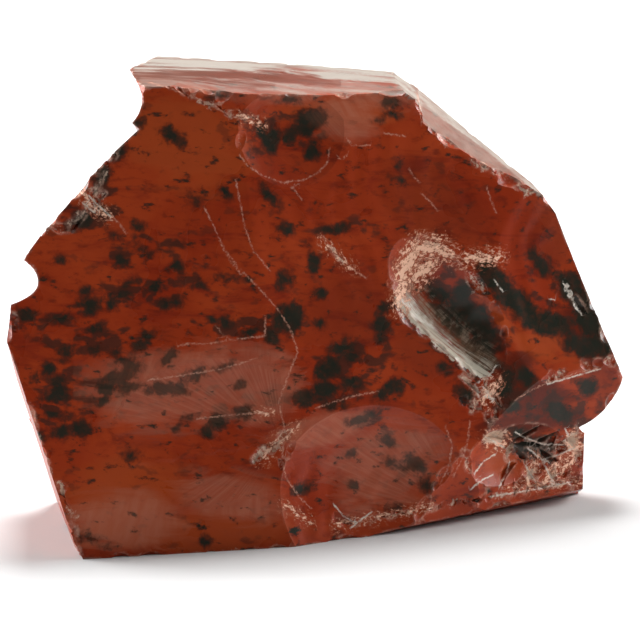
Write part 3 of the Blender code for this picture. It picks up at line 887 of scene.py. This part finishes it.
def glass_red(make, millimetres, cloud, streaks):
    """The red ground: clouded between brown-red and orange, with darker drawn-out bands."""
    red = make.blend(make.ease(cloud, 0.35, 0.65), BROWN_RED, CLEAR_RED)
    red = make.blend(make.ease(streaks, 0.48, 0.72, 0, 0.75), red, DRAWN_RED)
    spots = make.drawn(millimetres, (0.35, 0.5, 0.8), (0.08, 0), 4, 0.65, 0.3)
    red = make.blend(make.ease(spots, 0.5, 0.72, 0, 0.65), red, SPOT_RED)
    orange = make.mark("orange", streaks, 0.3, 0.7, -0.6, 0.6)
    return make.blend(make.ease(orange, -0.4, 1.2, 0, 0.8), red, ORANGE)


def glass_dark(make, millimetres, fine):
    """How deep a point lies inside the glass's black patches and specks, with ragged edges."""
    ragged = make.noise(millimetres, 0.55, 4, 0.55, 0.3)
    dark = make.add(make.mark("dark", ragged, 0.3, 0.7, -0.42, 0.38), make.ease(fine, 0.3, 0.7, -0.12, 0.12))
    specks = make.drawn(millimetres, (0.45, 0.6, 0.9), (0.1, 0), 4, 0.6, 0.2)
    speckled = make.mark("speckle", specks, 0.2, 1, -2, 2)
    blots = make.drawn(millimetres, (0.36, 0.5, 0.62), (0.07, 0), 3, 0.5, 0.2)
    mottled = make.add(make.ease(make.attribute("mottled"), -1.2, 0.9, -0.8, 0),
                       make.ease(blots, 0.36, 0.7, -0.75, 0.75))
    unseen = make.ease(make.attribute("speckle"), -0.4, -0.1, -2.5, 0)
    clouds = make.drawn(millimetres, (0.1, 0.16, 0.26), (0.1, 0), 5, 0.6, 0.4)
    clouds = make.add(make.ease(clouds, 0.48, 0.68, -1.6, 1.1), unseen)
    return make.math("MAXIMUM", make.math("MAXIMUM", dark, clouds), speckled), mottled


def pale_film_sheen(make, millimetres, fine, colour):
    """The greyish film of scratches on the top, drawn out across the stone; its pale colour is partly a
    painted reflection of the backdrop.
    """
    drawn = make.drawn(millimetres, (0.035, 0.35, 0.6), (0, -0.05), 4, 0.65, 0.5)
    zone = make.ease(make.mark("film_sheen_zone", drawn, 0.3, 0.7, -0.7, 0.7), -0.7, 0.9)
    streak = make.ease(make.mark("streak_zone", drawn, 0.3, 0.7, 0.35, -0.35), -0.6, 0.3)
    beige = make.ease(make.mark("beige_film_sheen_zone", drawn, 0.3, 0.7, -0.5, 0.5), -0.7, 0.9)
    own = make.attribute("film_sheen")
    film_sheen = make.math("MAXIMUM", own, make.math("MAXIMUM", zone, make.times(beige, 0.55)))
    film_sheen = make.times(film_sheen, make.ease(drawn, 0.3, 0.62, 0.55, 1.1), make.ease(streak, 0, 1, 1, 0.12))
    film_sheen = make.add(film_sheen, make.times(film_sheen, make.ease(fine, 0.3, 0.7, -0.15, 0.15)))
    film_sheen = make.math("MINIMUM", film_sheen, 0.92)
    colour = make.blend(make.ease(own, 0, 0.3, 0, 0.6), colour, UNDER_FILM)
    colour = make.blend(make.times(streak, 0.75), colour, STREAK)
    return make.blend(film_sheen, colour, FILM_SHEEN), film_sheen


def pale_wall_reflection(make, colour):
    """The groove's wall painted pale as a painted reflection, and the fine grey lines that run on from it
    over the black glass.
    """
    along, over, within = (make.attribute(name) for name in ("wall_along", "wall_over", "wall_within"))
    fibres = make.noise(make.plane(make.times(over, 2.6), make.times(along, 0.16)), 1, 5, 0.72, 0.5)
    broken = make.noise(make.plane(make.times(over, 0.5), make.times(along, 0.9)), 1, 4, 0.65, 0.4)
    edge = make.add(over, make.ease(broken, 0.3, 0.7, -0.25, 0.25))
    ends = make.ease(make.add(within, make.ease(broken, 0.3, 0.7, -0.5, 0.5)), -0.5, 0.5)
    core = make.times(make.ease(edge, 0, 0.35), make.ease(edge, 0.9, WALL_WIDTH, 1, 0), ends)
    wall_reflection = make.ease(make.add(core, make.ease(fibres, 0.3, 0.7, -0.65, 0.45)), 0.1, 0.95)
    wall_reflection = make.times(wall_reflection, make.ease(core, 0, 0.25))
    colour = make.blend(make.times(wall_reflection, 0.95), colour, WALL_REFLECTION)
    rim = make.times(make.ease(edge, -0.45, -0.1), make.ease(edge, -0.05, 0.25, 1, 0),
                     make.ease(within, -0.2, 0.5), make.ease(broken, 0.35, 0.6))
    colour = make.blend(make.times(rim, 0.8), colour, WALL_RIM)
    inside = make.times(make.ease(over, 1.2, 2.2), make.ease(over, 2.8, 6, 1, 0),
                        make.ease(within, -1, 0.6))
    veil = make.times(inside, make.ease(over, 2.6, 4.6, 0.55, 0), make.ease(broken, 0.3, 0.6, 0.4, 1))
    colour = make.blend(veil, colour, WALL_VEIL)
    scratches = make.times(make.ease(fibres, 0.42, 0.6), make.ease(broken, 0.4, 0.64), inside, 0.8)
    return make.blend(scratches, colour, WALL_SCRATCH)


def crushed_glass(make, grain, colour):
    """Glass crushed by blows: bright torn fibres over dark red."""
    run = make.plane(make.attribute("crushed_along"), make.times(make.attribute("crushed_across"), 1.6))
    fibres = make.noise(run, 1.3, 4, 0.68, 0.35)
    crushed = make.add(make.mark("crushed", fibres, 0.32, 0.68, -1.15, 0.75),
                       make.ease(grain, 0.3, 0.7, -0.3, 0.3))
    colour = make.blend(make.ease(crushed, -0.8, 0.1, 0, 0.8), colour, CRUSHED_RED)
    crushed = make.ease(crushed, -0.2, 0.6, 0, 0.97)
    return make.blend(crushed, colour, CRUSHED), crushed


def tinted_flakes(make, grain, fine, colour):
    """Flakes that came away pale or dark."""
    own = make.attribute("tint")
    tint = make.add(own, make.ease(fine, 0.25, 0.75, -0.35, 0.35), make.ease(grain, 0.3, 0.7, -0.25, 0.25))
    pale = make.times(make.ease(tint, 0.15, 1, 0, 0.95), make.ease(own, 0.05, 0.2))
    dark = make.times(make.ease(tint, -0.75, -0.2, 0.95, 0), make.ease(own, -0.2, -0.05, 1, 0))
    return make.blend(dark, make.blend(pale, colour, PALE_FLAKE), DARK_FLAKE)


def cracks_and_wear(make, millimetres, fine, grain, colour):
    """Hairline cracks, splinters and painted glints, and pale worn ridges."""
    for name, wander, gaps, line_colour in (("hairline", 0.14, (0.38, 0.6, 0.05, 0.85), CRACK),
                                            ("splinter", 0.1, (0.34, 0.52, 0.1, 1), SPLINTER_GLINT)):
        aside = make.math("ABSOLUTE", make.mark(name, fine, 0.2, 0.8, -wander, wander))
        line = make.times(make.ease(aside, 0.02, 0.17, 1, 0), make.attribute(name + "_strength"),
                          make.ease(grain, *gaps))
        colour = make.blend(line, colour, line_colour)
    patchy = make.noise(millimetres, 0.45, 3, 0.6)
    worn = make.times(make.ease(make.attribute("ridge"), 0.02, 0.34, 1, 0),
                      make.ease(make.attribute("ridge_turn"), 0.25, 0.7),
                      make.ease(patchy, 0.42, 0.64, 0.03, 0.6), make.ease(grain, 0.35, 0.6, 0.3, 1))
    return make.blend(worn, colour, WORN)


def chip(centre, out, along, size, depth, tint, riser=()):
    """A small flake of this half-length, half-width and depth, struck off at a place on the surface."""
    bowl = (size[0] ** 2 / (2 * depth), size[1] ** 2 / (2 * depth))
    reach = CHIP_REACH * max(size) + CHIP_ROOM
    return Scar(centre - out * depth, out, bowl, along, (reach, reach), riser, tint)


def leaning_flake(centre, way, size, tilt, lean, depth, tint):
    """A flake whose floor leans a little from the surface, with a step at its deeper side."""
    out = unit(way + np.array([lean[0], lean[1], 0.0]))
    along = np.array([math.cos(math.radians(tilt)), math.sin(math.radians(tilt)), 0.0])
    side = unit(np.cross(out, along) * (1 if lean[0] + lean[1] > 0 else -1))
    step = (centre - side * STEP_SIDE * size[1], side + STEP_LEAN * way)
    return chip(centre, out, along, size, depth, tint, step)


def placed_flakes():
    """The flakes that the front shows, with the rows along its edges."""
    random = np.random.default_rng(NIBBLE_SEED)
    rows = list(FLAKES)
    for first, last, count, tint in FLAKE_ROWS:
        for number in range(count):
            share = (number + random.uniform(0.2, 0.8)) / count
            column, row = np.add(first, np.subtract(last, first) * share)
            turn = math.degrees(math.atan2(first[1] - last[1], last[0] - first[0]))
            size = (random.uniform(4, 7.5), random.uniform(2, 4))
            rows.append((column, row, *size, turn + random.normal(0, 18), random.normal(0, 0.35),
                         random.normal(0.1, 0.35), random.uniform(0.2, 0.4), tint * random.uniform(0, 2)))
    centres, ways = on_front([photo_place(row[0], row[1]) for row in rows])
    return [leaning_flake(centre, way, (row[2] * PIXEL, row[3] * PIXEL), row[4], row[5:7], row[7], row[8])
            for centre, way, row in zip(centres, ways, rows)]


def nibbled_ridges():
    """Tiny flakes along the stone's ridges, all round."""
    points = carve([], QUICK_STEP)[0]
    _, owner, second, other = stone_above(points)
    near, sine = ridge_distance(points, owner, other, second)
    one, two = facing(points, owner), facing(points, other)
    ridges = np.nonzero((near < NIBBLE_REACH) & (sine > NIBBLE_TURN))[0]
    random = np.random.default_rng(NIBBLE_SEED + 1)
    chips = []
    for number in random.choice(ridges, NIBBLES, replace=False):
        way = unit(one[number] + two[number])
        run = unit(np.cross(one[number], two[number]) + random.normal(0, 0.25, 3))
        size = random.uniform(*NIBBLE_SIZE) * random.choice((1.0, 1.0, NIBBLE_LONGER))
        depth = NIBBLE_DEPTH * size + random.uniform(0.05, 0.15)
        out = unit(way + random.normal(0, 0.22, 3))
        tint = random.uniform(-0.2, 0.5)
        chips.append(chip(points[number], out, run, (size, NIBBLE_WIDTH * size), depth, tint))
    return chips


# Where the blow of each scar fell (across, up on the front), and how strong its ripples and hackles are.
STRIKES = {
    "front_left": ((-6, 66), 0.5, 0.15),
    "front_right": ((30, 52), 0.8, 0.2),
    "fan": ((-4.4, 15), 0.7, 1),
    "lower_centre": ((22, 4), 1, 0.1),
    "brow_scoop": ((-4, 62), 0.5, 0.2),
    "bands": ((36, 40), 0.8, 0.4),
    "jaw": ((20, 20), 0.5, 0.4),
    "top": ((-24, 64), 0.4, 0.9),
    "top_right": ((14, 60), 0.5, 0.6),
}
STRIKE_AWAY = 26.0              # how far from its middle an unlisted scar was struck
STRIKE_SHARE = (0.9, 0.35)      # and how strong its ripples and hackles are
EDGE_CALM = 1.6                 # ripples fade this near to a ridge
RIDGE_FAR = 3.0                 # ridges farther off than this are all the same
UNSEEN_FROM = -0.1              # a surface that faces back more than this isn't in the photograph
UNSEEN_RANGE = 0.3              # the change is gradual over this range
UNSEEN_MOTTLING = 0.4           # how thickly such a surface is mottled
SPECKLE_SEEN = -0.44            # how much the glass is speckled on the side that the photograph shows
SPECKLE_HIDDEN = 0.4            # and how much more where it faces away
LINE_WIDTH = 0.75               # the fine lines within the hackles, in millimetres
LINE_LENGTH = 6.0
BUMP_HEIGHT = 0.0001            # in metres

# Scars with a pale film of fine scratches, partly a painted reflection of the backdrop, and how dense it is.
FILM_SHEENS = {
    "top": 0.3, "top_right": 0.8, "top_end": 0.6, "top_front": 0.15, "top_right_front": 0.35,
    "left_tip": 0.4,
}


def strike_numbers(points, owner):
    """For each point: how far it is from its scar's blow, how far round it, and its ripples and hackles."""
    away, around = np.zeros(len(points)), np.zeros(len(points))
    ripple, hackle = np.zeros(len(points)), np.zeros(len(points))
    for number, (name, scar) in enumerate(SCARS.items()):
        chosen = np.nonzero(owner == number)[0]
        if not len(chosen):
            continue
        out, along, other = axes_of(scar)
        if name in STRIKES:
            (across, up), ripple[chosen], hackle[chosen] = STRIKES[name]
            start = np.array([across, up, scar.at[2]])
        else:
            ripple[chosen], hackle[chosen] = STRIKE_SHARE
            start = np.asarray(scar.at, float) + along * STRIKE_AWAY
        place = points[chosen] - start
        first, second = place @ along, place @ other
        away[chosen] = np.hypot(first, second)
        around[chosen] = np.arctan2(second, first) * STRIKE_AWAY
    return away, around, ripple, hackle


def describe_glass(mesh, points, chips):
    """Writes the glass's patches and painted sheen, bruises, cracks, glints, films with their painted
    reflection and blows to the points of the mesh.
    """
    _, owner, second, other = stone_above(points, chips)
    near, sine = ridge_distance(points, owner, other, second, chips)
    out = facing(points, owner, chips)
    hidden = np.clip((out[:, 2] - UNSEEN_FROM) / UNSEEN_RANGE, 0, 1)
    numbers = {name: inside_patches(points, patches)[0] for name, patches in MARKS.items()}
    numbers["mottled"] = np.maximum(numbers["mottled"], (PATCH_FADE + UNSEEN_MOTTLING) * hidden - PATCH_FADE)
    numbers["orange"] = np.minimum(numbers["orange"], PATCH_FADE)
    numbers["speckle"] = SPECKLE_SEEN + SPECKLE_HIDDEN * hidden
    top = (points[:, 1] > TOP_FROM) & (out[:, 1] > TOP_FACING)
    for name, patches in TOP_MARKS.items():
        numbers[name] = np.where(top, inside_patches(points, patches, TOP_THICKNESS)[0], -PATCH_FADE)
    numbers["crushed"], numbers["crushed_along"], numbers["crushed_across"] = inside_patches(points, BRUISES)
    numbers["wall_along"], numbers["wall_over"], numbers["wall_within"] = wall_numbers(points)
    numbers["hairline"], numbers["hairline_strength"] = beside_lines(points, HAIRLINES)
    numbers["splinter"], numbers["splinter_strength"] = beside_lines(points, SPLINTERS_AND_GLINTS)
    numbers["tint"] = np.array([0.0] * len(SCARS) + [chip.tint for chip in chips])[owner]
    numbers["film_sheen"] = np.array([FILM_SHEENS.get(name, 0.0) for name in SCARS] + [0.0] * len(chips))[owner]
    numbers["ridge"], numbers["ridge_turn"] = np.minimum(near, RIDGE_FAR), sine
    numbers["from_strike"], numbers["around_strike"], ripple, hackle = strike_numbers(points, owner)
    calm = np.clip(near / EDGE_CALM, 0, 1) ** 2
    numbers["ripple"], numbers["hackle"] = ripple * calm, hackle * calm
    for name, values in numbers.items():
        mesh.attributes.new(name, "FLOAT", "POINT").data.foreach_set("value", np.asarray(values, np.float32))


# The groove's wall, painted pale as a painted reflection: a bowed band above the line between two pixels,
# this wide in millimetres.
WALL_ENDS = ((394, 303), (482, 381))
WALL_BOW = 0.75
WALL_WIDTH = 3.3
WALL_DEPTH = 12.0               # how far from the wall its marks reach


def wall_numbers(points):
    """For each point: how far along the wall's lower edge it lies, how far above, and how far from an end."""
    first, last = on_front([photo_place(*end) for end in WALL_ENDS])[0]
    run = (last - first)[:2]
    length = np.linalg.norm(run)
    run = run / length
    away = points - first
    along = away[:, :2] @ run
    share = np.clip(along / length, 0, 1)
    over = away[:, 1] * run[0] - away[:, 0] * run[1] + 4 * WALL_BOW * share * (1 - share)
    beyond = np.maximum(-along, along - length)
    over = np.where(np.abs(away[:, 2]) < WALL_DEPTH, over, -PATCH_FADE)
    return along, np.clip(over, -PATCH_FADE, WALL_DEPTH), np.clip(-beyond, -PATCH_FADE, PATCH_FADE)


# The ripples and hackles in millimetres, as the inputs of their tree.
RIPPLE_INPUTS = {
    "Ripple Spacing": 3.4, "Ripple Height": 0.045, "Hackle Width": 1.3, "Hackle Height": 0.1, "Seed": 7.0,
}
RING_WANDER = 3.2               # how many rings a ring may wander
WANDER_SCALE = 0.09             # the scale of the noise that moves them
HACKLE_LENGTHS = 7.0            # how many times as long as wide a hackle is


def ripple_tree():
    """A tree that moves a scar's surface along its facing: rings round the blow, and hackles away from it."""
    tree = bpy.data.node_groups.new("struck_glass_surface", "GeometryNodeTree")
    tree.interface.new_socket("Geometry", in_out="INPUT", socket_type="NodeSocketGeometry")
    for name, value in RIPPLE_INPUTS.items():
        socket = tree.interface.new_socket(name, in_out="INPUT", socket_type="NodeSocketFloat")
        socket.default_value = value
    tree.interface.new_socket("Glass", in_out="INPUT", socket_type="NodeSocketMaterial")
    tree.interface.new_socket("Geometry", in_out="OUTPUT", socket_type="NodeSocketGeometry")
    make = Recipe(tree)
    given = tree.nodes.new("NodeGroupInput").outputs
    away, around, ripple, hackle = (make.point_number(name) for name in
                                    ("from_strike", "around_strike", "ripple", "hackle"))
    where = make.scaled(tree.nodes.new("GeometryNodeInputPosition").outputs[0], 1 / MM)
    wander = make.seeded_noise(where, given["Seed"], WANDER_SCALE)
    phase = make.add(make.math("DIVIDE", away, given["Ripple Spacing"]), make.times(wander, RING_WANDER))
    rings = make.times(make.math("SINE", make.times(phase, 2 * math.pi)), given["Ripple Height"])
    lanes = make.plane(make.math("DIVIDE", around, given["Hackle Width"]),
                       make.math("DIVIDE", away, make.times(given["Hackle Width"], HACKLE_LENGTHS)))
    streaks = make.seeded_noise(lanes, given["Seed"], 1.0)
    lines = make.times(make.math("SUBTRACT", streaks, 0.5), given["Hackle Height"])
    rise = make.times(make.add(make.times(rings, ripple), make.times(lines, hackle)), MM)
    shift = make.scaled(tree.nodes.new("GeometryNodeInputNormal").outputs[0], rise)
    moved = make.node("GeometryNodeSetPosition", Geometry=given["Geometry"], Offset=shift)
    whole = make.node("GeometryNodeRealizeInstances", Geometry=moved.outputs[0])
    coated = make.node("GeometryNodeSetMaterial", Geometry=whole.outputs[0], Material=given["Glass"])
    tree.links.new(coated.outputs[0], tree.nodes.new("NodeGroupOutput").inputs[0])
    return tree


def strike_surface(stone, glass):
    """Runs the tree on the stone and keeps its result as the stone's own mesh."""
    tree = ripple_tree()
    ripples = stone.modifiers.new("struck_glass_surface", "NODES")
    ripples.node_group = tree
    for item in tree.interface.items_tree:
        if item.in_out == "INPUT" and item.name == "Glass":
            ripples[item.identifier] = glass
    seen = stone.evaluated_get(bpy.context.evaluated_depsgraph_get())
    struck = bpy.data.meshes.new_from_object(seen)
    stone.modifiers.clear()
    stone.data = struck
    struck.name = PIECE


def studio_floor():
    """A plain white sheet under the stone."""
    mesh = bpy.data.meshes.new("studio_floor")
    corners = [(x * FLOOR_HALF, y * FLOOR_HALF, 0) for x, y in ((-1, -1), (1, -1), (1, 1), (-1, 1))]
    mesh.from_pydata(corners, [], [(0, 1, 2, 3)])
    floor = bpy.data.objects.new("studio_floor", mesh)
    bpy.context.collection.objects.link(floor)
    material = bpy.data.materials.new("white_paper")
    material.use_nodes = True
    surface = material.node_tree.nodes["Principled BSDF"]
    surface.inputs["Base Color"].default_value = PAPER_WHITE
    surface.inputs["Roughness"].default_value = 0.9
    surface.inputs["Specular IOR Level"].default_value = 0.0
    mesh.materials.append(material)


def studio_sky():
    """A bright backdrop and bright sides, dim in front, so that the glass keeps its colour."""
    world = bpy.data.worlds.new("studio_sky")
    bpy.context.scene.world = world
    world.use_nodes = True
    world.node_tree.nodes.clear()
    make = Recipe(world.node_tree)
    parts = make.node("ShaderNodeSeparateXYZ", Vector=make.node("ShaderNodeTexCoord").outputs["Generated"])
    across, forward, up = parts.outputs
    overhead = make.ease(up, 0.2, 0.9, 0.0, OVERHEAD_GLOW)
    low_behind = make.math("SUBTRACT", forward, make.times(up, 1.1))
    behind = make.times(make.ease(low_behind, 0.25, 0.75, DIM_GLOW, BACKDROP_GLOW),
                        make.ease(up, 0.12, 0.42, 0.12, 1.0))
    sides = make.ease(make.math("ABSOLUTE", across), 0.74, 0.95, 0.0, SIDE_GLOW)
    glow = make.add(overhead, behind, sides)
    background = make.node("ShaderNodeBackground", Strength=glow)
    output = make.node("ShaderNodeOutputWorld")
    make.tree.links.new(background.outputs["Background"], output.inputs["Surface"])


def soft_box(name, place, aim, width, power):
    """A square soft light aimed at a point."""
    light = bpy.data.lights.new(name, "AREA")
    light.shape = "SQUARE"
    light.size = width
    light.energy = power
    lamp = bpy.data.objects.new(name, light)
    bpy.context.collection.objects.link(lamp)
    lamp.location = place
    lamp.rotation_euler = (Vector(aim) - Vector(place)).to_track_quat("-Z", "Y").to_euler()


def photograph_camera():
    """The camera at the photograph's height, square on to the leaning front."""
    data = bpy.data.cameras.new("photograph_camera")
    data.sensor_width = SENSOR
    data.lens = SENSOR * CAMERA_DISTANCE / (FRAME_PIXELS * PIXEL * MM)
    data.clip_start, data.clip_end = 0.05, 10.0
    camera = bpy.data.objects.new("photograph_camera", data)
    bpy.context.collection.objects.link(camera)
    middle = (PIXEL_BASE - FRAME_PIXELS / 2) * PIXEL
    target = Vector(to_frame(np.array([0.0, middle, CAMERA_BACK])))
    camera.location = target + Vector(DOWN) * CAMERA_DISTANCE
    camera.rotation_euler = (math.pi / 2 - LEAN, 0, 0)
    bpy.context.scene.camera = camera


def main():
    """Carves and colours the stone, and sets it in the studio."""
    bpy.context.scene.view_settings.view_transform = "Standard"
    photograph_camera()
    chips = placed_flakes() + nibbled_ridges()
    points, faces, owners = carve(chips, GRID_STEP)
    mesh = stone_mesh(points, faces, owners)
    stone = bpy.data.objects.new(PIECE, mesh)
    bpy.context.collection.objects.link(stone)
    describe_glass(mesh, points, chips)
    glass = obsidian_material()
    mesh.materials.append(glass)
    strike_surface(stone, glass)
    studio_floor()
    studio_sky()
    for name, (place, aim, width, power) in LAMPS.items():
        soft_box(name, place, aim, width, power)
    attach(stone, "root")
    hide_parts(NODE)
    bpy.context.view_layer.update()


main()
